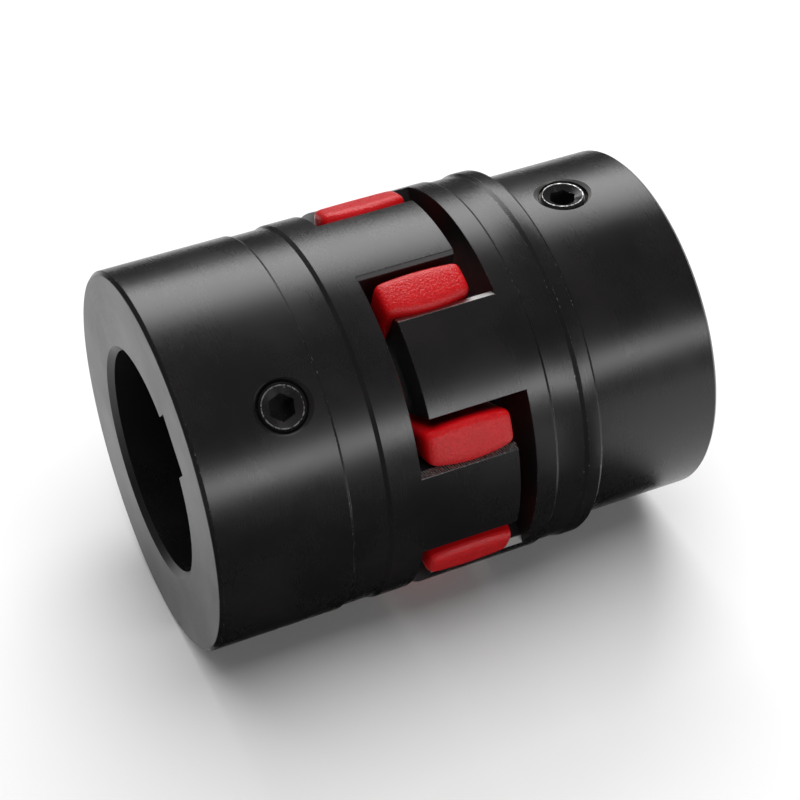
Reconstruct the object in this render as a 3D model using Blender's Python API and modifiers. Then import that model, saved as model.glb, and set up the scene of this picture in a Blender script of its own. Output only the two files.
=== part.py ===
"""Jaw coupling, 65 mm across and 90 mm long: two steel hubs whose jaws mesh through an elastic spider.

The shaft axis lies along +X. The driving hub is at -X, the driven hub at +X, and the origin is on the
axis, midway between the hubs' end faces. Each hub has a keyed bore for a 38 mm shaft and one set screw
over its keyway. Angles about the axis are measured from +Z towards -Y.
"""

import bpy
import bmesh
from math import cos, pi, radians, sin
from mathutils import Matrix, Vector

# Whole coupling (metres, degrees)
LENGTH = 0.090
OUTER_R = 0.0325
HUB_GRIP = 0.035          # shaft length that each hub holds
JAW_LENGTH = 0.017
ROLL = -3.2               # turn of the whole coupling about its axis
JAW_PITCH = 90.0          # between neighbouring jaws of one hub
LEG_PITCH = 45.0          # between neighbouring legs of the spider

# Bore and keyway, for a 38 mm shaft with a 10 x 8 mm key
BORE_R = 0.019
BORE_CHAMFER = 0.001
KEYWAY_WIDTH = 0.010
KEYWAY_FLOOR_R = BORE_R + 0.0033
END_CHAMFER = 0.0006

# Jaws
JAW_HALF_ANGLE = 15.2     # flank planes pass through the axis
JAW_INNER_R = 0.0235
JAW_EDGE_CHAMFER = 0.001

# Turned bands on the outside, as distances from the hub's end face
DRIVING_BAND = (0.0229, 0.0288, 0.0295)
DRIVING_BAND_DEPTH = 0.00035
DRIVEN_BODY_R = 0.0303
DRIVEN_COLLAR = (0.0228, 0.0255)
DRIVEN_BAND = (0.0262, 0.0310)
DRIVEN_BAND_DEPTH = 0.0004

# Spider
SPIDER_CENTRE_X = -0.0009
SPIDER_WIDTH = 0.015
SPIDER_HOLE_R = 0.015
SPIDER_RING_R = 0.0228
SPIDER_RING_WIDTH = 0.011
SPIDER_RING_CHAMFER = 0.0008
LEG_TIP_R = 0.0332
LEG_ROOT_R = 0.0205
LEG_GAP = 0.00035         # clearance between a leg and the jaw beside it
LEG_CROWN = 0.0007        # how much narrower a leg is at its two ends
LEG_ROUNDING = 0.0012

# Set screws, M8 with a 4 mm hexagon socket
SCREW_R = 0.004
SCREW_HOLE_R = 0.0043
SCREW_MOUTH_R = 0.0049
SCREW_SOCKET_ACROSS = 0.004
SCREW_SOCKET_DEPTH = 0.0042
SCREW_CHAMFER = 0.0006
SCREW_TIP_R = 0.022       # radius at which the screw meets the key
DRIVING_SCREW = {"length": 0.010, "from_end": 0.0160}
DRIVEN_SCREW = {"length": 0.008, "from_end": 0.0140}

# Smoothness of the turned shapes
TURN_STEPS = 80
HOLE_STEPS = 24
MERGE = 0.00001
OVERCUT = 0.002


def clear_scene():
    for old in list(bpy.data.objects):
        bpy.data.objects.remove(old, do_unlink=True)


def new_collection(name):
    collection = bpy.data.collections.new(name)
    bpy.context.scene.collection.children.link(collection)
    return collection


def new_material(name, colour, roughness, metallic):
    material = bpy.data.materials.new(name)
    material.use_nodes = True
    shader = material.node_tree.nodes["Principled BSDF"]
    shader.inputs["Base Color"].default_value = (*colour, 1.0)
    shader.inputs["Roughness"].default_value = roughness
    shader.inputs["Metallic"].default_value = metallic
    return material


def new_object(name, mesh, collection, material=None):
    obj = bpy.data.objects.new(name, mesh)
    collection.objects.link(obj)
    if material:
        mesh.materials.append(material)
    return obj


def new_cutter(name, mesh, collection):
    obj = new_object(name, mesh, collection)
    obj.hide_render = True
    obj.display_type = "WIRE"
    return obj


def apply_modifiers(obj):
    """Replace the object's mesh with its evaluated one."""
    evaluated = obj.evaluated_get(bpy.context.evaluated_depsgraph_get())
    mesh = bpy.data.meshes.new_from_object(evaluated)
    obj.modifiers.clear()
    obj.data = mesh


def turned_mesh(name, profile, steps, closed_loop):
    """Turn a profile of (radius, height) points about +Z; it runs down its outer side."""
    mesh = bpy.data.meshes.new(name)
    shape = bmesh.new()
    corners = [shape.verts.new((radius, 0, height)) for radius, height in profile]
    followers = corners[1:] + corners[:1] if closed_loop else corners[1:]
    for start, end in zip(corners, followers):
        shape.edges.new((start, end))
    shape.to_mesh(mesh)
    shape.free()
    holder = bpy.data.objects.new(name, mesh)
    bpy.context.scene.collection.objects.link(holder)
    screw = holder.modifiers.new("turn", "SCREW")
    screw.axis = "Z"
    screw.steps = screw.render_steps = steps
    screw.use_merge_vertices = True
    screw.merge_threshold = MERGE
    apply_modifiers(holder)
    turned = holder.data
    turned.name = name
    bpy.data.objects.remove(holder, do_unlink=True)
    return turned


def extruded_mesh(name, outline, low, high):
    """Extrude a flat outline of (x, y) points from height low to height high."""
    curve = bpy.data.curves.new(name, "CURVE")
    curve.dimensions = "2D"
    curve.fill_mode = "BOTH"
    curve.extrude = (high - low) / 2
    spline = curve.splines.new("POLY")
    spline.points.add(len(outline) - 1)
    spline.use_cyclic_u = True
    for point, (x, y) in zip(spline.points, outline):
        point.co = (x, y, 0, 1)
    holder = bpy.data.objects.new(name, curve)
    bpy.context.scene.collection.objects.link(holder)
    evaluated = holder.evaluated_get(bpy.context.evaluated_depsgraph_get())
    mesh = bpy.data.meshes.new_from_object(evaluated)
    bpy.data.objects.remove(holder, do_unlink=True)
    shape = bmesh.new()
    shape.from_mesh(mesh)
    bmesh.ops.remove_doubles(shape, verts=shape.verts, dist=MERGE)
    bmesh.ops.translate(shape, verts=shape.verts, vec=(0, 0, (low + high) / 2))
    bmesh.ops.recalc_face_normals(shape, faces=shape.faces)
    shape.to_mesh(mesh)
    shape.free()
    return mesh


def ring_of_copies(name, mesh, count, pitch, first=0.0):
    """One mesh that holds turned copies of another, spaced about +Z; angles in degrees."""
    shape = bmesh.new()
    for number in range(count):
        turned = mesh.copy()
        turned.transform(Matrix.Rotation(radians(first + number * pitch), 4, "Z"))
        shape.from_mesh(turned)
        bpy.data.meshes.remove(turned)
    ring = bpy.data.meshes.new(name)
    shape.to_mesh(ring)
    shape.free()
    return ring


def combine(obj, other, operation):
    step = obj.modifiers.new(other.name, "BOOLEAN")
    step.operation = operation
    step.solver = "EXACT"
    step.object = other


def polar(radius, angle):
    return radius * cos(radians(angle)), radius * sin(radians(angle))


def along_shaft(facing, roll, x):
    """Placement of a piece that was made about +Z with its keyway or first leg towards +X.

    Its +Z goes to +X (facing 1) or -X (facing -1), and its +X goes to the given roll angle.
    """
    lay_down = Matrix.Rotation(radians(-90), 4, "Y")
    turn_round = Matrix.Rotation(radians(180 if facing > 0 else 0), 4, "Z")
    return Matrix.Translation((x, 0, 0)) @ Matrix.Rotation(radians(roll), 4, "X") @ turn_round @ lay_down


def jaw_gap_mesh(name):
    """The space between two jaws: flanks in planes through the axis, with chamfered outer edges."""
    half_gap = JAW_PITCH / 2 - JAW_HALF_ANGLE
    chamfer_r = OUTER_R - JAW_EDGE_CHAMFER
    inner = polar(JAW_INNER_R - OVERCUT, half_gap)
    edge = Vector(polar(chamfer_r, half_gap))
    radial = Vector(polar(1, half_gap))
    across = Vector((-radial.y, radial.x))
    outer = edge + (radial + across) * (JAW_EDGE_CHAMFER + OVERCUT)
    crest = (OUTER_R + OUTER_R / 3, 0)
    side = [inner, edge, outer]
    outline = [(x, y) for x, y in side] + [crest] + [(x, -y) for x, y in reversed(side)]
    return extruded_mesh(name, outline, HUB_GRIP, HUB_GRIP + JAW_LENGTH + OVERCUT)


def keyway_mesh(name):
    """A slot along the whole bore, from inside the bore out to the keyway's floor."""
    half = KEYWAY_WIDTH / 2
    inner = BORE_R - 2 * BORE_CHAMFER - OVERCUT
    outline = [(inner, -half), (KEYWAY_FLOOR_R, -half), (KEYWAY_FLOOR_R, half), (inner, half)]
    return extruded_mesh(name, outline, -OVERCUT, HUB_GRIP + OVERCUT)


def screw_hole_mesh(name, surface_r, from_end):
    """A tapped hole with a chamfered mouth, from the bore out through the surface towards +X."""
    start = BORE_R
    chamfer = SCREW_MOUTH_R - SCREW_HOLE_R
    profile = [
        (0, surface_r + OVERCUT),
        (SCREW_MOUTH_R + OVERCUT, surface_r + OVERCUT),
        (SCREW_HOLE_R, surface_r - chamfer),
        (SCREW_HOLE_R, start),
        (0, start),
    ]
    mesh = turned_mesh(name, profile, HOLE_STEPS, False)
    mesh.transform(Matrix.Translation((0, 0, from_end)) @ Matrix.Rotation(radians(90), 4, "Y"))
    return mesh


def make_hub(name, outside, surface_r, screw, placement, parts, cutters, steel):
    """One hub: a turned blank whose jaws, keyway and tapped hole are then cut.

    outside is the outer profile from the root of the jaws to the end face, as (radius, distance).
    """
    jaw_tip = HUB_GRIP + JAW_LENGTH
    blank = (
        [(OUTER_R, jaw_tip)]
        + outside
        + [
            (BORE_R + BORE_CHAMFER, 0),
            (BORE_R, BORE_CHAMFER),
            (BORE_R, HUB_GRIP - BORE_CHAMFER),
            (BORE_R + BORE_CHAMFER, HUB_GRIP),
            (JAW_INNER_R, HUB_GRIP),
            (JAW_INNER_R, jaw_tip),
        ]
    )
    hub = new_object(name, turned_mesh(name, blank, TURN_STEPS, True), parts, steel)
    gap = jaw_gap_mesh(name + "_gap")
    gaps = ring_of_copies(name + "_gaps", gap, round(360 / JAW_PITCH), JAW_PITCH)
    tools = [
        new_cutter(name + "_jaw_gaps", gaps, cutters),
        new_cutter(name + "_keyway", keyway_mesh(name + "_keyway"), cutters),
        new_cutter(name + "_tapping", screw_hole_mesh(name + "_tapping", surface_r, screw["from_end"]), cutters),
    ]
    for tool in tools:
        tool.matrix_world = placement
        combine(hub, tool, "DIFFERENCE")
    hub.matrix_world = placement
    return hub


def leg_mesh(name):
    """One spider leg along +X: flanks in planes through the axis, crowned towards both ends."""
    half_angle = radians(LEG_PITCH / 2 - JAW_HALF_ANGLE)
    half_width = SPIDER_WIDTH / 2
    shape = bmesh.new()
    bmesh.ops.create_cube(shape, size=1)
    cuts = 6
    for number in range(1, cuts):
        everything = shape.verts[:] + shape.edges[:] + shape.faces[:]
        height = number / cuts - 0.5
        bmesh.ops.bisect_plane(shape, geom=everything, plane_co=(0, 0, height), plane_no=(0, 0, 1))
    for vert in shape.verts:
        radius = LEG_TIP_R if vert.co.x > 0 else LEG_ROOT_R
        along = vert.co.z * 2
        across = radius * sin(half_angle) - LEG_GAP - LEG_CROWN * along ** 2
        side = 1 if vert.co.y > 0 else -1
        vert.co = (radius, side * across, along * half_width)
    sharp = [edge for edge in shape.edges if edge.calc_face_angle() > radians(45)]
    bmesh.ops.bevel(shape, geom=sharp, offset=LEG_ROUNDING, segments=2, profile=0.5, affect="EDGES")
    mesh = bpy.data.meshes.new(name)
    shape.to_mesh(mesh)
    shape.free()
    return mesh


def make_spider(parts, cutters, elastomer):
    """The elastic spider: a ring that carries the legs, moulded in one piece."""
    half_ring = SPIDER_RING_WIDTH / 2
    edge = SPIDER_RING_CHAMFER
    profile = [
        (SPIDER_RING_R - edge, half_ring),
        (SPIDER_RING_R, half_ring - edge),
        (SPIDER_RING_R, -half_ring + edge),
        (SPIDER_RING_R - edge, -half_ring),
        (SPIDER_HOLE_R + edge, -half_ring),
        (SPIDER_HOLE_R, -half_ring + edge),
        (SPIDER_HOLE_R, half_ring - edge),
        (SPIDER_HOLE_R + edge, half_ring),
    ]
    spider = new_object("spider", turned_mesh("spider", profile, TURN_STEPS, True), parts, elastomer)
    legs = ring_of_copies("spider_legs", leg_mesh("leg"), round(360 / LEG_PITCH), LEG_PITCH)
    leg_set = new_cutter("spider_legs", legs, cutters)
    placement = along_shaft(1, ROLL + LEG_PITCH / 2, SPIDER_CENTRE_X)
    leg_set.matrix_world = placement
    spider.matrix_world = placement
    combine(spider, leg_set, "UNION")
    return spider


def make_set_screw(name, screw, facing, roll, parts, cutters, steel):
    """A headless screw with a hexagon socket, its axis on the joint it turns and travels along."""
    length = screw["length"]
    top = length / 2
    profile = [
        (0, top),
        (SCREW_R - SCREW_CHAMFER, top),
        (SCREW_R, top - SCREW_CHAMFER),
        (SCREW_R, -top + 2 * SCREW_CHAMFER),
        (SCREW_R - 2 * SCREW_CHAMFER, -top),
        (0, -top),
    ]
    body = new_object(name, turned_mesh(name, profile, HOLE_STEPS, False), parts, steel)
    socket_r = SCREW_SOCKET_ACROSS / 2 / cos(pi / 6)
    hexagon = [polar(socket_r, 60 * corner) for corner in range(6)]
    socket = extruded_mesh(name + "_socket", hexagon, top - SCREW_SOCKET_DEPTH, top + OVERCUT)
    tool = new_cutter(name + "_socket", socket, cutters)
    combine(body, tool, "DIFFERENCE")
    x = -facing * (LENGTH / 2 - screw["from_end"])
    outwards = Matrix.Rotation(radians(roll), 4, "X")
    placement = Matrix.Translation((x, 0, 0)) @ outwards @ Matrix.Translation((0, 0, SCREW_TIP_R + top))
    body.matrix_world = placement
    tool.matrix_world = placement
    return body


def make_coupling():
    clear_scene()
    parts = new_collection("jaw_coupling")
    cutters = new_collection("cutters")
    hub_steel = new_material("blackened_steel", (0.018, 0.018, 0.020), 0.38, 1.0)
    screw_steel = new_material("black_alloy_steel", (0.012, 0.012, 0.013), 0.30, 1.0)
    elastomer = new_material("red_polyurethane", (0.62, 0.012, 0.014), 0.45, 0.0)

    start, floor_end, end = DRIVING_BAND
    band_r = OUTER_R - DRIVING_BAND_DEPTH
    driving_outside = [
        (OUTER_R, end),
        (band_r, floor_end),
        (band_r, start),
        (OUTER_R, start - DRIVING_BAND_DEPTH),
        (OUTER_R, END_CHAMFER),
        (OUTER_R - END_CHAMFER, 0),
    ]
    collar_start, collar_end = DRIVEN_COLLAR
    band_start, band_end = DRIVEN_BAND
    band_r = OUTER_R - DRIVEN_BAND_DEPTH
    driven_outside = [
        (OUTER_R, band_end + DRIVEN_BAND_DEPTH),
        (band_r, band_end),
        (band_r, band_start),
        (OUTER_R, collar_end),
        (OUTER_R, collar_start + END_CHAMFER),
        (OUTER_R - END_CHAMFER, collar_start),
        (DRIVEN_BODY_R, collar_start),
        (DRIVEN_BODY_R, END_CHAMFER),
        (DRIVEN_BODY_R - END_CHAMFER, 0),
    ]
    driving_roll = ROLL + JAW_PITCH / 2
    driven_roll = ROLL
    driving_place = along_shaft(1, driving_roll, -LENGTH / 2)
    driven_place = along_shaft(-1, driven_roll, LENGTH / 2)
    make_hub("driving_hub", driving_outside, OUTER_R, DRIVING_SCREW, driving_place, parts, cutters, hub_steel)
    make_hub("driven_hub", driven_outside, DRIVEN_BODY_R, DRIVEN_SCREW, driven_place, parts, cutters, hub_steel)
    make_spider(parts, cutters, elastomer)
    make_set_screw("driving_set_screw", DRIVING_SCREW, 1, driving_roll, parts, cutters, screw_steel)
    make_set_screw("driven_set_screw", DRIVEN_SCREW, -1, driven_roll, parts, cutters, screw_steel)


make_coupling()
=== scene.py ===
from math import atan2, cos, degrees, hypot, pi, radians, sin

import bpy
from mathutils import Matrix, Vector


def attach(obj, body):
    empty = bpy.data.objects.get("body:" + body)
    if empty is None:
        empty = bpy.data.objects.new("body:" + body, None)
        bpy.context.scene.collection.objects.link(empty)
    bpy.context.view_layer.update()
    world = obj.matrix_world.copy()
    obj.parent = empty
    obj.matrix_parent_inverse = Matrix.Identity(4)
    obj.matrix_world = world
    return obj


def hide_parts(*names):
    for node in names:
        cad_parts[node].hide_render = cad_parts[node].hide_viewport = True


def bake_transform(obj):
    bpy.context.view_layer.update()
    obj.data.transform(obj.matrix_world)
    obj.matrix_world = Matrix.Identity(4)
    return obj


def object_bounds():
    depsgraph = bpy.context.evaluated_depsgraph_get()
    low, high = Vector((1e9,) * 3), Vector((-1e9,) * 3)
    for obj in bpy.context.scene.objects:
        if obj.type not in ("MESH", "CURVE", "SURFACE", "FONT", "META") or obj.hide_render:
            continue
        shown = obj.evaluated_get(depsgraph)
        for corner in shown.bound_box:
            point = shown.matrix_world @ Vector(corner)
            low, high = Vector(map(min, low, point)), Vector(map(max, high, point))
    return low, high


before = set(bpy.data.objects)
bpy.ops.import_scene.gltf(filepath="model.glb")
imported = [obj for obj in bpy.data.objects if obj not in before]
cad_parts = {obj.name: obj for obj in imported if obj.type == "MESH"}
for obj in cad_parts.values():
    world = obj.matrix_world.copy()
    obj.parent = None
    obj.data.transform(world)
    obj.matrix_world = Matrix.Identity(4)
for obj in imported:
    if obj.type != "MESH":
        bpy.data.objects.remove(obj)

cad_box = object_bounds()
bpy.ops.object.select_all(action="DESELECT")


# Driving hub
# Turned from steel bar with a shallow band behind the jaws, milled on one end to leave four jaws,
# then bored, broached for its key, drilled and tapped, and blackened in hot oxide.

MM = 0.001
outer_r = cad_box[1][2]
bore_r = 19 * MM
bore_chamfer = 1 * MM
end_chamfer = 0.6 * MM
hub_grip = 35 * MM
jaw_tip = 52 * MM
jaw_inner_r = 23.5 * MM
jaw_half_angle = 15.2
driving_chamfers = (0.6 * MM, 1.0 * MM)
broken_edge = 0.07 * MM
keyway_width = 10 * MM
keyway_floor_r = 22.3 * MM
thread_pitch = 1.25 * MM
tapping_r = 4.08 * MM
thread_depth = 0.36 * MM
mouth_r = 4.9 * MM
overcut = 2 * MM
weld = 0.01 * MM
turn_steps = 360
driving_roll = 41.8
driving_screw_from_end = 16 * MM


def start_edit(mode):
    """Open the active piece in edit mode with nothing selected."""
    bpy.ops.object.mode_set(mode="EDIT")
    bpy.ops.mesh.select_mode(type=mode)
    bpy.ops.mesh.select_all(action="DESELECT")


def select_verts(piece, test):
    start_edit("VERT")
    bpy.ops.object.mode_set(mode="OBJECT")
    for vert in piece.data.vertices:
        vert.select = test(vert.co)
    bpy.ops.object.mode_set(mode="EDIT")


def select_faces(piece, test):
    start_edit("FACE")
    bpy.ops.object.mode_set(mode="OBJECT")
    for face in piece.data.polygons:
        face.select = test(face.center, face.normal)
    bpy.ops.object.mode_set(mode="EDIT")


def close_and_orient():
    """Merge the doubles of the mesh being edited and point its faces outwards."""
    bpy.ops.mesh.select_all(action="SELECT")
    bpy.ops.mesh.remove_doubles(threshold=weld)
    bpy.ops.mesh.normals_make_consistent(inside=False)
    bpy.ops.object.mode_set(mode="OBJECT")


def apply_modifier(piece, kind, **settings):
    modifier = piece.modifiers.new(kind.lower(), kind)
    for setting, value in settings.items():
        setattr(modifier, setting, value)
    bpy.ops.object.select_all(action="DESELECT")
    piece.select_set(True)
    bpy.context.view_layer.objects.active = piece
    bpy.ops.object.modifier_apply(modifier=modifier.name)


def cut(piece, cutter, operation="DIFFERENCE"):
    """Cut a piece with a cutter, which leaves its finish on the new faces and is then thrown away."""
    apply_modifier(
        piece, "BOOLEAN", operation=operation, solver="EXACT", object=cutter, material_mode="TRANSFER"
    )
    bpy.data.objects.remove(cutter)


def place_for_good(piece, turn=(0, 0, 0), move=(0, 0, 0)):
    """Turn a finished shape about the axes, move it, and leave its place in its mesh."""
    bpy.ops.object.select_all(action="DESELECT")
    piece.select_set(True)
    bpy.context.view_layer.objects.active = piece
    piece.rotation_euler = turn
    piece.location = move
    bpy.ops.object.transform_apply(location=True, rotation=True, scale=True)


def around(co):
    """Angle about the shaft axis, in degrees from +Z towards -Y."""
    return degrees(atan2(-co.y, co.z))


def radius_of(co):
    return hypot(co.y, co.z)


def draw_outline(name, points):
    """Start from one point and extrude it along an outline."""
    bpy.ops.mesh.primitive_plane_add(size=MM)
    outline = bpy.context.active_object
    outline.name = name
    start_edit("VERT")
    bpy.ops.mesh.select_all(action="SELECT")
    bpy.ops.mesh.merge(type="CENTER")
    bpy.ops.transform.translate(value=points[0])
    for start, end in zip(points, points[1:]):
        step = Vector(end) - Vector(start)
        bpy.ops.mesh.extrude_region_move(TRANSFORM_OT_translate={"value": step})
    return outline


def turn_ring(name, stations):
    """Turn a closed ring about the shaft axis; a station is (distance in from the end face, radius)."""
    first_x, first_r = stations[0]
    bpy.ops.mesh.primitive_circle_add(
        vertices=turn_steps, radius=first_r, location=(first_x, 0, 0), rotation=(0, pi / 2, 0)
    )
    ring = bpy.context.active_object
    ring.name = name
    bpy.ops.object.transform_apply(location=True, rotation=True, scale=True)
    bpy.ops.object.mode_set(mode="EDIT")
    bpy.ops.mesh.select_all(action="SELECT")
    for (old_x, old_r), (x, r) in zip(stations, stations[1:] + stations[:1]):
        bpy.ops.mesh.extrude_region_move(TRANSFORM_OT_translate={"value": (x - old_x, 0, 0)})
        bpy.ops.transform.resize(value=(1, r / old_r, r / old_r), center_override=(0, 0, 0))
    close_and_orient()
    return ring


def paint_faces(piece, finish, test):
    """Give the faces chosen by place and normal a finish of their own."""
    if finish.name not in piece.data.materials:
        piece.data.materials.append(finish)
    slot = piece.data.materials.find(finish.name)
    for face in piece.data.polygons:
        if test(face.center, face.normal):
            face.material_index = slot


def make_gap_cutter(chamfers, milled, chamfered):
    """The milling cutter's path between two jaws, flared where it chamfers the flanks' outer edges."""
    half_gap = radians(45 - jaw_half_angle)
    sides = []
    for side, chamfer in zip((-1, 1), chamfers):
        along = Vector((0, -sin(side * half_gap), cos(side * half_gap)))
        across = Vector((0, along.z, -along.y)) * -side
        inner = along * (jaw_inner_r - overcut)
        edge = along * (outer_r - chamfer)
        outer = edge + (along + across) * (chamfer + overcut)
        sides.append([point + Vector((hub_grip, 0, 0)) for point in (inner, edge, outer)])
    crest = Vector((hub_grip, 0, outer_r * 4 / 3))
    cutter = draw_outline("jaw_gap_cutter", sides[0] + [crest] + sides[1][::-1])
    bpy.ops.mesh.select_all(action="SELECT")
    bpy.ops.mesh.edge_face_add()
    depth = jaw_tip - hub_grip + overcut
    bpy.ops.mesh.extrude_region_move(TRANSFORM_OT_translate={"value": (depth, 0, 0)})
    close_and_orient()
    paint_faces(cutter, milled, lambda centre, normal: True)
    for (inner, edge, outer), finish in zip(sides, chamfered):
        middle = (edge + outer) / 2
        paint_faces(
            cutter, finish,
            lambda centre, normal: abs(normal.x) < 0.5
            and hypot(centre.y - middle.y, centre.z - middle.z) < MM,
        )
    return cutter


def make_thread_rod(name, core_r, depth, length):
    """A closed rod with a 60 degree thread all along it, standing on the origin."""
    flat = thread_pitch / 8
    flank = (thread_pitch - flat) / 2
    rod = draw_outline(
        name, [(core_r, 0, 0), (core_r + depth, 0, flank), (core_r + depth, 0, flank + flat),
               (core_r, 0, thread_pitch)]
    )
    bpy.ops.object.mode_set(mode="OBJECT")
    apply_modifier(
        rod, "SCREW", axis="Z", screw_offset=thread_pitch, iterations=round(length / thread_pitch),
        steps=48, render_steps=48, use_merge_vertices=True, merge_threshold=weld,
    )
    start_edit("VERT")
    close_and_orient()
    start_edit("VERT")
    bpy.ops.mesh.select_non_manifold()
    bpy.ops.mesh.extrude_region_move(TRANSFORM_OT_translate={"value": (0, 0, 0)})
    bpy.ops.mesh.merge(type="COLLAPSE")
    close_and_orient()
    return rod


def turn_hub(name, stations, surface_r, screw_from_end, chamfers, finishes):
    """One hub with its end face at x = 0, its jaws towards +X and its keyway at the top."""
    turned, faced, milled, chamfered, rough, worn = finishes
    hub = turn_ring(name, stations)
    paint_faces(hub, turned, lambda centre, normal: True)
    paint_faces(hub, faced, lambda centre, normal: abs(normal.x) > 0.9)
    paint_faces(
        hub, chamfered, lambda centre, normal: radius_of(centre) < bore_r + bore_chamfer and normal.x < -0.5
    )
    for number in range(4):
        cutter = make_gap_cutter(chamfers, milled, (chamfered, rough))
        place_for_good(cutter, turn=(radians(90 * number), 0, 0))
        cut(hub, cutter)
    start_edit("EDGE")
    bpy.ops.mesh.edges_select_sharp(sharpness=radians(28))
    bpy.ops.object.mode_set(mode="OBJECT")
    for edge in hub.data.edges:
        a, b = (hub.data.vertices[index].co for index in edge.vertices)
        at_root = abs(a.x - hub_grip) < weld and abs(b.x - hub_grip) < weld
        radial = abs(radius_of(a) - radius_of(b)) > 0.5 * MM
        inside = min(radius_of(a), radius_of(b)) < outer_r - 5 * MM
        edge.select = edge.select and not inside and not (at_root and radial)
    bpy.ops.object.mode_set(mode="EDIT")
    hub.data.materials.append(worn)
    bpy.ops.mesh.bevel(
        offset=broken_edge, segments=1, affect="EDGES", clamp_overlap=False,
        material=len(hub.data.materials) - 1,
    )
    bpy.ops.object.mode_set(mode="OBJECT")
    bpy.ops.mesh.primitive_cube_add(size=1)
    keyway = bpy.context.active_object
    inner = bore_r - 3 * MM
    keyway.scale = (hub_grip + 2 * overcut, keyway_width, keyway_floor_r - inner)
    place_for_good(keyway, move=(hub_grip / 2, 0, (keyway_floor_r + inner) / 2))
    paint_faces(keyway, milled, lambda centre, normal: True)
    cut(hub, keyway)
    tap = make_thread_rod("tap", tapping_r, thread_depth, surface_r - bore_r + 3 * thread_pitch)
    paint_faces(tap, turned, lambda centre, normal: True)
    place_for_good(tap, move=(screw_from_end, 0, bore_r + thread_pitch / 2))
    cut(hub, tap)
    flare = mouth_r - tapping_r + overcut
    bpy.ops.mesh.primitive_cone_add(vertices=96, radius1=tapping_r, radius2=tapping_r + flare, depth=flare)
    countersink = bpy.context.active_object
    place_for_good(
        countersink, move=(screw_from_end, 0, surface_r - (mouth_r - tapping_r) + flare / 2)
    )
    paint_faces(countersink, chamfered, lambda centre, normal: True)
    cut(hub, countersink)
    return hub


chatter_advance = 0.42 * MM
chatter_around = 0.60 * MM
streaks_per_metre = 90
oxide_black = (0.0080, 0.0076, 0.0084, 1)
oxide_brown = (0.0130, 0.0115, 0.0122, 1)
bare_steel = (0.52, 0.51, 0.50, 1)


def start_group(name, inputs, outputs):
    """An empty shader node group with named float, vector or colour sockets."""
    group = bpy.data.node_groups.new(name, "ShaderNodeTree")
    for in_out, sockets in (("INPUT", inputs), ("OUTPUT", outputs)):
        for socket, kind in sockets.items():
            group.interface.new_socket(socket, in_out=in_out, socket_type="NodeSocket" + kind)
    return group, group.nodes.new("NodeGroupInput").outputs, group.nodes.new("NodeGroupOutput").inputs


def feed(tree, value, socket):
    """Give a node's socket a constant, or link another socket into it."""
    if isinstance(value, bpy.types.NodeSocket):
        tree.links.new(value, socket)
    elif value is not None:
        socket.default_value = value


def math(tree, operation, *values):
    node = tree.nodes.new("ShaderNodeMath")
    node.operation = operation
    for value, socket in zip(values, node.inputs):
        feed(tree, value, socket)
    return node.outputs[0]


def noise(tree, vector, scale, detail=2, roughness=0.5):
    node = tree.nodes.new("ShaderNodeTexNoise")
    settings = {"Vector": vector, "Scale": scale, "Detail": detail, "Roughness": roughness}
    for socket, value in settings.items():
        feed(tree, value, node.inputs[socket])
    return node.outputs["Fac"]


def remap(tree, value, low, high, to_low=0, to_high=1):
    node = tree.nodes.new("ShaderNodeMapRange")
    for number, socket in zip((value, low, high, to_low, to_high), node.inputs):
        feed(tree, number, socket)
    return node.outputs[0]


def blend_colours(tree, mask, colour_a, colour_b):
    node = tree.nodes.new("ShaderNodeMix")
    node.data_type = "RGBA"
    for value, socket in ((mask, 0), (colour_a, 6), (colour_b, 7)):
        feed(tree, value, node.inputs[socket])
    return node.outputs[2]


def make_tool_marks():
    """Height of the fine lines that a cutting tool leaves as it advances, with its chatter across them."""
    group, given, out = start_group(
        "tool_marks",
        {"Advance": "Float", "Around": "Float", "Pitch": "Float", "Lines": "Float", "Chatter": "Float"},
        {"Height": "Float", "Streaks": "Float"},
    )
    turns = math(group, "DIVIDE", given["Advance"], given["Pitch"])
    place = group.nodes.new("ShaderNodeCombineXYZ")
    feed(group, turns, place.inputs[0])
    feed(group, math(group, "MULTIPLY", given["Around"], streaks_per_metre), place.inputs[1])
    streaks = noise(group, place.outputs[0], 1, 3, 0.6)
    lines = math(group, "MULTIPLY", math(group, "SUBTRACT", streaks, 0.5), given["Lines"])
    ridge = math(group, "SINE", math(group, "MULTIPLY", turns, 2 * pi))
    chatter_phase = math(
        group, "ADD", math(group, "MULTIPLY", given["Advance"], 2 * pi / chatter_advance),
        math(group, "MULTIPLY", given["Around"], 2 * pi / chatter_around),
    )
    chatter = math(group, "MULTIPLY", math(group, "SINE", chatter_phase), given["Chatter"])
    height = math(group, "ADD", math(group, "ADD", lines, math(group, "MULTIPLY", ridge, 0.12)), chatter)
    feed(group, height, out["Height"])
    feed(group, streaks, out["Streaks"])
    return group


def make_patches():
    """Soft blotches, from a handled and oiled oxide film, in two sizes."""
    group, given, out = start_group("patches", {"Vector": "Vector", "Size": "Float"}, {"Mask": "Float"})
    scale = math(group, "DIVIDE", 1, given["Size"])
    broad = noise(group, given["Vector"], scale, 3, 0.55)
    fine = noise(group, given["Vector"], math(group, "MULTIPLY", scale, 9), 2, 0.6)
    mixed = math(group, "ADD", math(group, "MULTIPLY", broad, 0.88), math(group, "MULTIPLY", fine, 0.12))
    feed(group, remap(group, mixed, 0.35, 0.65), out["Mask"])
    return group


tool_marks = make_tool_marks()
patches = make_patches()


def use_group(tree, group, **values):
    node = tree.nodes.new("ShaderNodeGroup")
    node.node_tree = group
    for name, value in values.items():
        feed(tree, value, node.inputs[name])
    return node.outputs


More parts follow.
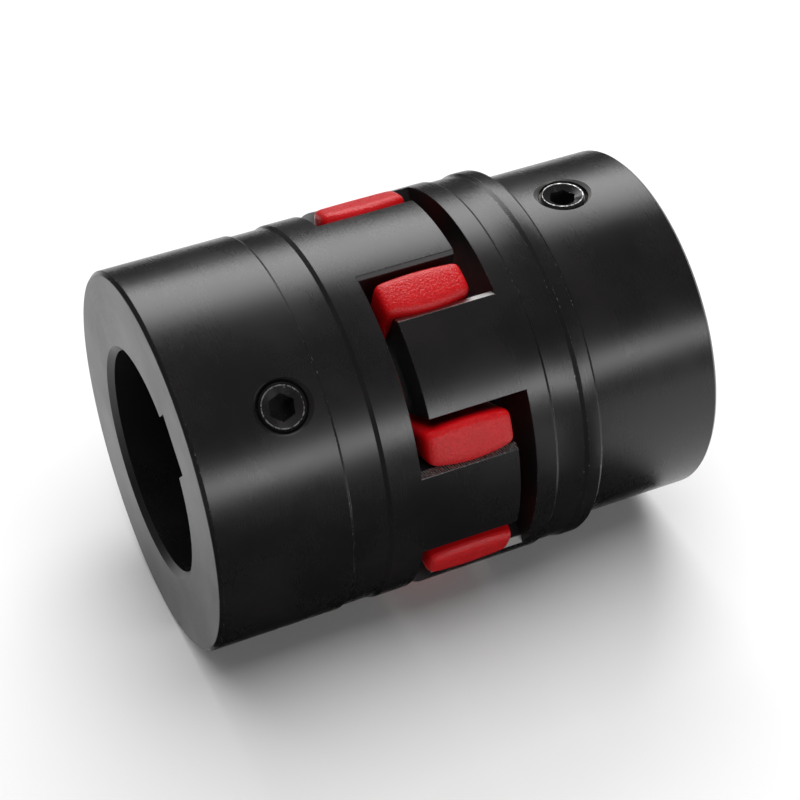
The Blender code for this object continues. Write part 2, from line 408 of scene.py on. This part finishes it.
def read_place(tree):
    """Object coordinates, their three parts, and the distance from the shaft axis."""
    place = tree.nodes.new("ShaderNodeTexCoord").outputs["Object"]
    axes = tree.nodes.new("ShaderNodeSeparateXYZ")
    feed(tree, place, axes.inputs[0])
    x, y, z = axes.outputs
    y_squared = math(tree, "MULTIPLY", y, y)
    z_squared = math(tree, "MULTIPLY", z, z)
    radius = math(tree, "SQRT", math(tree, "ADD", y_squared, z_squared))
    return place, x, y, z, radius


def add_bump(tree, height, depth):
    bump = tree.nodes.new("ShaderNodeBump")
    bump.inputs["Distance"].default_value = depth
    feed(tree, height, bump.inputs["Height"])
    feed(tree, bump.outputs["Normal"], tree.nodes["Principled BSDF"].inputs["Normal"])


def steel_finish(name, cut_along, pitch, depth, lines=1, chatter=0, gloss=(0.26, 0.34), wear=0):
    """Blackened steel with its tool marks; wear is the share of the surface rubbed to bare metal."""
    finish = bpy.data.materials.new(name)
    finish.use_nodes = True
    tree = finish.node_tree
    shader = tree.nodes["Principled BSDF"]
    place, x, y, z, radius = read_place(tree)
    arc = math(tree, "MULTIPLY", math(tree, "ARCTAN2", y, z), outer_r)
    advance = {"shaft": x, "radius": radius, "slant": math(tree, "ADD", x, math(tree, "SUBTRACT", y, z))}
    marks = use_group(
        tree, tool_marks, Advance=advance[cut_along], Around=arc, Pitch=pitch, Lines=lines, Chatter=chatter
    )
    mask = use_group(tree, patches, Vector=place, Size=14 * MM)["Mask"]
    colour = blend_colours(tree, mask, oxide_black, oxide_brown)
    rubbed = math(tree, "MULTIPLY", math(tree, "ADD", mask, marks["Streaks"]), 0.5)
    roughness = remap(tree, rubbed, 0.25, 0.75, *gloss)
    if wear:
        scuffs = noise(tree, place, 1 / (0.5 * MM), 3, 0.65)
        bare = remap(tree, math(tree, "ADD", scuffs, math(tree, "MULTIPLY", marks["Height"], 0.1)),
                     0.78 - 0.5 * wear, 0.98 - 0.5 * wear)
        colour = blend_colours(tree, bare, colour, bare_steel)
        feed(tree, bare, shader.inputs["Metallic"])
    feed(tree, colour, shader.inputs["Base Color"])
    feed(tree, roughness, shader.inputs["Roughness"])
    add_bump(tree, marks["Height"], depth)
    return finish


MICRON = 0.001 * MM
hub_finishes = (
    steel_finish("turned_steel", "shaft", 0.30 * MM, 6 * MICRON, chatter=0.5, gloss=(0.25, 0.30)),
    steel_finish("faced_steel", "radius", 0.35 * MM, 3 * MICRON, chatter=0.1, gloss=(0.30, 0.38)),
    steel_finish("milled_steel", "slant", 0.55 * MM, 9 * MICRON, gloss=(0.34, 0.46)),
    steel_finish("chamfered_steel", "radius", 0.25 * MM, 3 * MICRON, gloss=(0.34, 0.42), wear=0.15),
    steel_finish(
        "rough_chamfer", "shaft", 0.65 * MM, 40 * MICRON, lines=0.5, chatter=1.5, gloss=(0.22, 0.32), wear=0.7
    ),
    steel_finish("worn_edge", "slant", 0.40 * MM, 4 * MICRON, gloss=(0.30, 0.40), wear=0.35),
)
driving_stations = [
    (jaw_tip, outer_r),
    (29.5 * MM, outer_r),
    (28.8 * MM, outer_r - 0.35 * MM),
    (22.9 * MM, outer_r - 0.35 * MM),
    (22.55 * MM, outer_r),
    (end_chamfer, outer_r),
    (0, outer_r - end_chamfer),
    (0, bore_r + bore_chamfer),
    (bore_chamfer, bore_r),
    (hub_grip - bore_chamfer, bore_r),
    (hub_grip, bore_r + bore_chamfer),
    (hub_grip, jaw_inner_r),
    (jaw_tip, jaw_inner_r),
]
driving_hub = turn_hub(
    "driving_hub_steel", driving_stations, outer_r, driving_screw_from_end, driving_chamfers, hub_finishes
)
place_for_good(driving_hub, turn=(radians(driving_roll), 0, 0), move=(cad_box[0][0], 0, 0))
bpy.ops.object.shade_smooth_by_angle(angle=radians(20))
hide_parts("driving_hub")
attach(driving_hub, "driving_hub")


# Driven hub
# Turned like its mate from the same bar, but its gripping end is slimmer behind a raised collar,
# and a shallow band is turned between the collar and the jaws.

driven_body_r = 30.3 * MM
driven_roll = -3.2
driven_chamfers = (1.1 * MM, 0)
bright_chamfer = steel_finish(
    "bright_chamfer", "radius", 0.25 * MM, 3 * MICRON, gloss=(0.46, 0.56), wear=1.3
)
driven_screw_from_end = 14 * MM
driven_stations = [
    (jaw_tip, outer_r),
    (31.4 * MM, outer_r),
    (31.0 * MM, outer_r - 0.4 * MM),
    (26.2 * MM, outer_r - 0.4 * MM),
    (25.5 * MM, outer_r),
    (23.3 * MM, outer_r),
    (22.8 * MM, outer_r - 0.5 * MM),
    (22.8 * MM, driven_body_r),
    (end_chamfer, driven_body_r),
    (0, driven_body_r - end_chamfer),
    (0, bore_r + bore_chamfer),
    (bore_chamfer, bore_r),
    (hub_grip - bore_chamfer, bore_r),
    (hub_grip, bore_r + bore_chamfer),
    (hub_grip, jaw_inner_r),
    (jaw_tip, jaw_inner_r),
]
driven_hub = turn_hub(
    "driven_hub_steel", driven_stations, driven_body_r, driven_screw_from_end, driven_chamfers,
    hub_finishes[:3] + (bright_chamfer,) + hub_finishes[4:]
)
place_for_good(driven_hub, turn=(0, 0, pi))
place_for_good(driven_hub, turn=(radians(driven_roll), 0, 0), move=(cad_box[1][0], 0, 0))
bpy.ops.object.shade_smooth_by_angle(angle=radians(20))
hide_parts("driven_hub")
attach(driven_hub, "driven_hub")


# Spider
# Moulded in one piece from red polyurethane: a ring that carries eight barrel-shaped legs, one in
# each gap between a driving and a driven jaw. It is only slipped between the hubs.

spider_x = -0.9 * MM
leg_pitch = 45
leg_roll = 18.9
leg_half_angle = 6.75
leg_columns = 10
hole_r = 15 * MM
ring_r = 22.8 * MM
ring_width = 11 * MM
pad_depth = 2 * MM
leg_fit = 0.97
leg_crown = 0.23
leg_radii = [25.3 * MM, 27.7 * MM, 30.1 * MM, 33.3 * MM]

bpy.ops.mesh.primitive_grid_add(
    x_subdivisions=4, y_subdivisions=4, size=1, location=(0, 0, 0), rotation=(pi / 2, 0, 0)
)
spider = bpy.context.active_object
spider.name = "spider_polyurethane"
spider.scale = (ring_width, ring_r - hole_r, 1)
bpy.ops.object.transform_apply(location=True, rotation=True, scale=True)
place_for_good(spider, move=(0, 0, (hole_r + ring_r) / 2))
place_for_good(spider, turn=(radians(-leg_pitch / 2), 0, 0))
start_edit("FACE")
bpy.ops.mesh.select_all(action="SELECT")
bpy.ops.mesh.spin(steps=leg_columns, angle=radians(leg_pitch), center=(0, 0, 0), axis=(-1, 0, 0))
bpy.ops.object.mode_set(mode="OBJECT")
select_faces(
    spider,
    lambda centre, normal: abs(normal.x) < 0.5 and abs(abs(around(centre)) - leg_pitch / 2) < 0.1,
)
bpy.ops.mesh.delete(type="FACE")
close_and_orient()
select_faces(
    spider,
    lambda centre, normal: radius_of(centre) > ring_r - 0.1 * MM
    and abs(around(centre)) < leg_half_angle,
)
for low_r, high_r in zip([ring_r] + leg_radii, leg_radii):
    bpy.ops.mesh.extrude_region_move(TRANSFORM_OT_translate={"value": (0, 0, 0)})
    bpy.ops.transform.resize(value=(1, high_r / low_r, high_r / low_r), center_override=(0, 0, 0))
for side in (-1, 1):
    select_faces(
        spider,
        lambda centre, normal: normal.x * side > 0.9
        and radius_of(centre) > ring_r - (ring_r - hole_r) / 4
        and abs(around(centre)) < leg_half_angle,
    )
    bpy.ops.mesh.extrude_region_move(TRANSFORM_OT_translate={"value": (side * pad_depth, 0, 0)})
    bpy.ops.object.mode_set(mode="OBJECT")
leg_half_length = ring_width / 2 + pad_depth
for x in (0, ring_width / 4, ring_width / 2, leg_half_length):
    narrowing = leg_fit - leg_crown * (x / leg_half_length) ** 2
    lowest = ring_r - 3 * MM if x > ring_width / 2 else ring_r + 0.5 * MM
    select_verts(spider, lambda co: abs(abs(co.x) - x) < weld and radius_of(co) > lowest)
    bpy.ops.transform.resize(value=(1, narrowing, 1), center_override=(0, 0, 0))
start_edit("FACE")
bpy.ops.mesh.select_all(action="SELECT")
bpy.ops.mesh.spin(
    steps=7, dupli=True, angle=radians(7 * leg_pitch), center=(0, 0, 0), axis=(-1, 0, 0)
)
close_and_orient()
apply_modifier(spider, "SUBSURF", levels=2, render_levels=2)
place_for_good(spider, turn=(radians(leg_roll), 0, 0), move=(spider_x, 0, 0))
bpy.ops.object.shade_smooth()


def make_moulded_grain():
    """Fine pebbled grain from a blasted mould, only where the mould's outer wall shaped the piece."""
    group, given, out = start_group(
        "moulded_grain", {"Vector": "Vector", "Grain Size": "Float", "Wall": "Float"},
        {"Height": "Float", "Pits": "Float"},
    )
    pebbles = group.nodes.new("ShaderNodeTexVoronoi")
    pebbles.feature = "SMOOTH_F1"
    feed(group, given["Vector"], pebbles.inputs["Vector"])
    feed(group, math(group, "DIVIDE", 1, given["Grain Size"]), pebbles.inputs["Scale"])
    fine = noise(group, given["Vector"], math(group, "DIVIDE", 2.2, given["Grain Size"]), 2, 0.6)
    height = math(group, "SUBTRACT", math(group, "MULTIPLY", fine, 0.8), pebbles.outputs["Distance"])
    feed(group, math(group, "MULTIPLY", height, given["Wall"]), out["Height"])
    feed(group, math(group, "MULTIPLY", pebbles.outputs["Distance"], given["Wall"]), out["Pits"])
    return group


grain_size = 0.38 * MM
grain_depth = 95 * MICRON
light_red = (0.62, 0.004, 0.008, 1)
full_red = (0.52, 0.003, 0.005, 1)
# Painted shade: a darker red laid into the pits of the grain, where the recesses would fall into shade.
painted_pit_shade_red = (0.36, 0.002, 0.004, 1)
spider_finish = bpy.data.materials.new("red_polyurethane")
spider_finish.use_nodes = True
tree = spider_finish.node_tree
shader = tree.nodes["Principled BSDF"]
place, x, y, z, radius = read_place(tree)
wall = remap(tree, radius, leg_radii[-1] - 1.3 * MM, leg_radii[-1] - 0.5 * MM)
grain = use_group(tree, make_moulded_grain(), **{"Vector": place, "Grain Size": grain_size, "Wall": wall})
tint = use_group(tree, patches, Vector=place, Size=9 * MM)["Mask"]
red = blend_colours(tree, tint, full_red, light_red)
# The pits of the grain are darkened in colour towards a deeper red: painted shade in the recesses. Their
# depth also raises the roughness.
feed(tree, blend_colours(tree, grain["Pits"], red, painted_pit_shade_red), shader.inputs["Base Color"])
feed(tree, remap(tree, grain["Pits"], 0, 0.6, 0.27, 0.42), shader.inputs["Roughness"])
shader.inputs["Subsurface Weight"].default_value = 0.12
shader.inputs["Subsurface Radius"].default_value = (1.2, 0.15, 0.1)
shader.inputs["Subsurface Scale"].default_value = MM
add_bump(tree, grain["Height"], grain_depth)
paint_faces(spider, spider_finish, lambda centre, normal: True)
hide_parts("spider")
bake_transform(spider)


# Set screws
# Two headless M8 screws of blackened alloy steel, turned down through each hub onto its key. Each
# has a 4 mm hexagon socket with a coned mouth, and a cup point.

screw_tip_r = 22 * MM
screw_r = 4 * MM
screw_core_r = 3.35 * MM
socket_across = 4 * MM
socket_depth = 4.2 * MM
socket_mouth_r = 3.3 * MM
screw_rim_r = 3.5 * MM
cup_rim_r = 2.75 * MM
cup_depth = 0.8 * MM


def turn_envelope(name, stations):
    """Turn a closed solid about +Z whose outline steps through (height, radius) stations."""
    first_z, first_r = stations[0]
    bpy.ops.mesh.primitive_circle_add(
        vertices=96, radius=first_r, fill_type="NGON", location=(0, 0, first_z)
    )
    solid = bpy.context.active_object
    solid.name = name
    bpy.ops.object.transform_apply(location=True, rotation=True, scale=True)
    start_edit("FACE")
    bpy.ops.mesh.select_all(action="SELECT")
    for (old_z, old_r), (z, r) in zip(stations, stations[1:]):
        bpy.ops.mesh.extrude_region_move(TRANSFORM_OT_translate={"value": (0, 0, z - old_z)})
        bpy.ops.transform.resize(value=(r / old_r, r / old_r, 1), center_override=(0, 0, 0))
    close_and_orient()
    return solid


def make_set_screw(name, length, socket_turn, finishes):
    """A set screw standing on its cup point at the origin."""
    threaded, plain, worn = finishes
    screw = make_thread_rod(name, screw_core_r, screw_r - screw_core_r, length + 4 * thread_pitch)
    paint_faces(screw, threaded, lambda centre, normal: True)
    place_for_good(screw, move=(0, 0, -2 * thread_pitch))
    margin = 0.1 * MM
    rim_chamfer = screw_r - screw_rim_r + margin
    envelope = turn_envelope(
        name + "_envelope",
        [(cup_depth, 0.05 * MM), (0, cup_rim_r), (screw_r + margin - cup_rim_r, screw_r + margin),
         (length - rim_chamfer, screw_r + margin), (length, screw_rim_r), (length, socket_mouth_r)]
    )
    paint_faces(envelope, plain, lambda centre, normal: True)
    paint_faces(envelope, worn, lambda centre, normal: normal.z > 0.9 and centre.z > length - weld)
    cut(screw, envelope, "INTERSECT")
    cone = turn_envelope(
        name + "_mouth",
        [(length + margin, socket_mouth_r + 2 * margin), (length - 0.65 * MM, socket_across / 2)]
    )
    paint_faces(cone, plain, lambda centre, normal: True)
    cut(screw, cone)
    bpy.ops.mesh.primitive_cylinder_add(
        vertices=6, radius=socket_across / 2 / cos(pi / 6), depth=socket_depth + margin
    )
    hexagon = bpy.context.active_object
    place_for_good(
        hexagon, turn=(0, 0, radians(socket_turn)), move=(0, 0, length - (socket_depth - margin) / 2)
    )
    paint_faces(hexagon, plain, lambda centre, normal: True)
    cut(screw, hexagon)
    return screw


screw_finishes = (
    steel_finish("rolled_thread", "slant", 0.20 * MM, 2 * MICRON, gloss=(0.22, 0.30), wear=0.25),
    steel_finish("forged_socket", "slant", 0.35 * MM, 5 * MICRON, gloss=(0.20, 0.30), wear=0.2),
    steel_finish("worn_screw_rim", "slant", 0.30 * MM, 4 * MICRON, gloss=(0.25, 0.35), wear=0.7),
)
set_screws = [
    ("driving_set_screw", 10 * MM, 110, cad_box[0][0] + driving_screw_from_end, driving_roll),
    ("driven_set_screw", 8 * MM, 90, cad_box[1][0] - driven_screw_from_end, driven_roll),
]
for node, length, socket_turn, x, roll in set_screws:
    screw = make_set_screw(node + "_steel", length, socket_turn, screw_finishes)
    place_for_good(screw, move=(0, 0, screw_tip_r))
    place_for_good(screw, turn=(radians(roll), 0, 0), move=(x, 0, 0))
    bpy.ops.object.shade_smooth_by_angle(angle=radians(25))
    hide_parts(node)
    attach(screw, node)


# Floor, lights and camera
# A plain pale floor under two softboxes and a broad overhead fill. Three black cloths that only
# reflections see keep the top edge and the lower half of the oiled hubs dark.

floor_z = cad_box[0][2]
cloth_height = 1 * MM


def studio_paint(name, grey, roughness):
    paint = bpy.data.materials.new(name)
    paint.use_nodes = True
    shader = paint.node_tree.nodes["Principled BSDF"]
    shader.inputs["Base Color"].default_value = (grey, grey, grey, 1)
    shader.inputs["Roughness"].default_value = roughness
    return paint


bpy.ops.mesh.primitive_plane_add(size=6, location=(0, 0, floor_z))
floor = bpy.context.active_object
floor.name = "studio_floor"
floor.data.materials.append(studio_paint("floor_paint", 0.88, 0.9))

black_cloth = studio_paint("black_cloth", 0.01, 1)


def lay_cloth(name, corner, width, depth, turn=0):
    """A black cloth just above the floor that only reflections see, laid from a corner towards -X and -Y."""
    bpy.ops.mesh.primitive_plane_add(size=1)
    cloth = bpy.context.active_object
    cloth.name = name
    cloth.scale = (width, depth, 1)
    bpy.ops.object.transform_apply(location=False, rotation=False, scale=True)
    place_for_good(cloth, move=(-width / 2, -depth / 2, 0))
    place_for_good(cloth, turn=(0, 0, radians(turn)), move=(*corner, floor_z + cloth_height))
    cloth.visible_camera = False
    cloth.visible_diffuse = False
    cloth.visible_shadow = False
    cloth.visible_transmission = False
    cloth.data.materials.append(black_cloth)


lay_cloth("back_cloth", (2, 2), 4, 1.82)
lay_cloth("near_cloth", (0.045, -0.02), 0.85, 0.14)
lay_cloth("far_cloth", (0.050, -0.10), 2, 2, turn=18)


def add_softbox(name, azimuth, elevation, distance, size, radiance, in_reflections=True):
    """A soft lamp aimed at the coupling from an azimuth (from +Y towards +X) and an elevation."""
    level = distance * cos(radians(elevation))
    place = Vector((
        level * sin(radians(azimuth)), level * cos(radians(azimuth)), distance * sin(radians(elevation))
    ))
    bpy.ops.object.light_add(type="AREA", location=place)
    lamp = bpy.context.active_object
    lamp.name = name
    lamp.rotation_euler = (-place).to_track_quat("-Z", "Y").to_euler()
    lamp.data.shape = "RECTANGLE"
    lamp.data.size, lamp.data.size_y = size
    lamp.data.energy = radiance * pi * size[0] * size[1]
    lamp.visible_glossy = in_reflections


add_softbox("back_softbox", 22, 40, 0.7, (0.62, 0.42), 4.6)
add_softbox("side_softbox", 165, 20, 0.7, (0.50, 0.11), 7.5)
add_softbox("overhead_fill", 0, 90, 1.6, (1.8, 1.8), 2.6, in_reflections=False)

world = bpy.data.worlds.new("studio")
bpy.context.scene.world = world
world.use_nodes = True
room = world.node_tree
dark_walls = room.nodes["Background"]
dark_walls.inputs["Color"].default_value = (0.06, 0.06, 0.06, 1)
pale_backdrop = room.nodes.new("ShaderNodeBackground")
pale_backdrop.inputs["Color"].default_value = (0.95, 0.95, 0.95, 1)
seen_by = room.nodes.new("ShaderNodeMixShader")
feed(room, room.nodes.new("ShaderNodeLightPath").outputs["Is Camera Ray"], seen_by.inputs[0])
feed(room, dark_walls.outputs[0], seen_by.inputs[1])
feed(room, pale_backdrop.outputs[0], seen_by.inputs[2])
feed(room, seen_by.outputs[0], room.nodes["World Output"].inputs["Surface"])

bpy.ops.object.camera_add(
    location=(-0.1176, -0.2570, 0.2502), rotation=(radians(90 - 41.85), 0, radians(-24.68))
)
camera = bpy.context.active_object
camera.data.lens = 99.6
camera.data.sensor_width = 36
camera.data.clip_start = 0.01
bpy.context.scene.camera = camera
bpy.context.scene.view_settings.view_transform = "Standard"
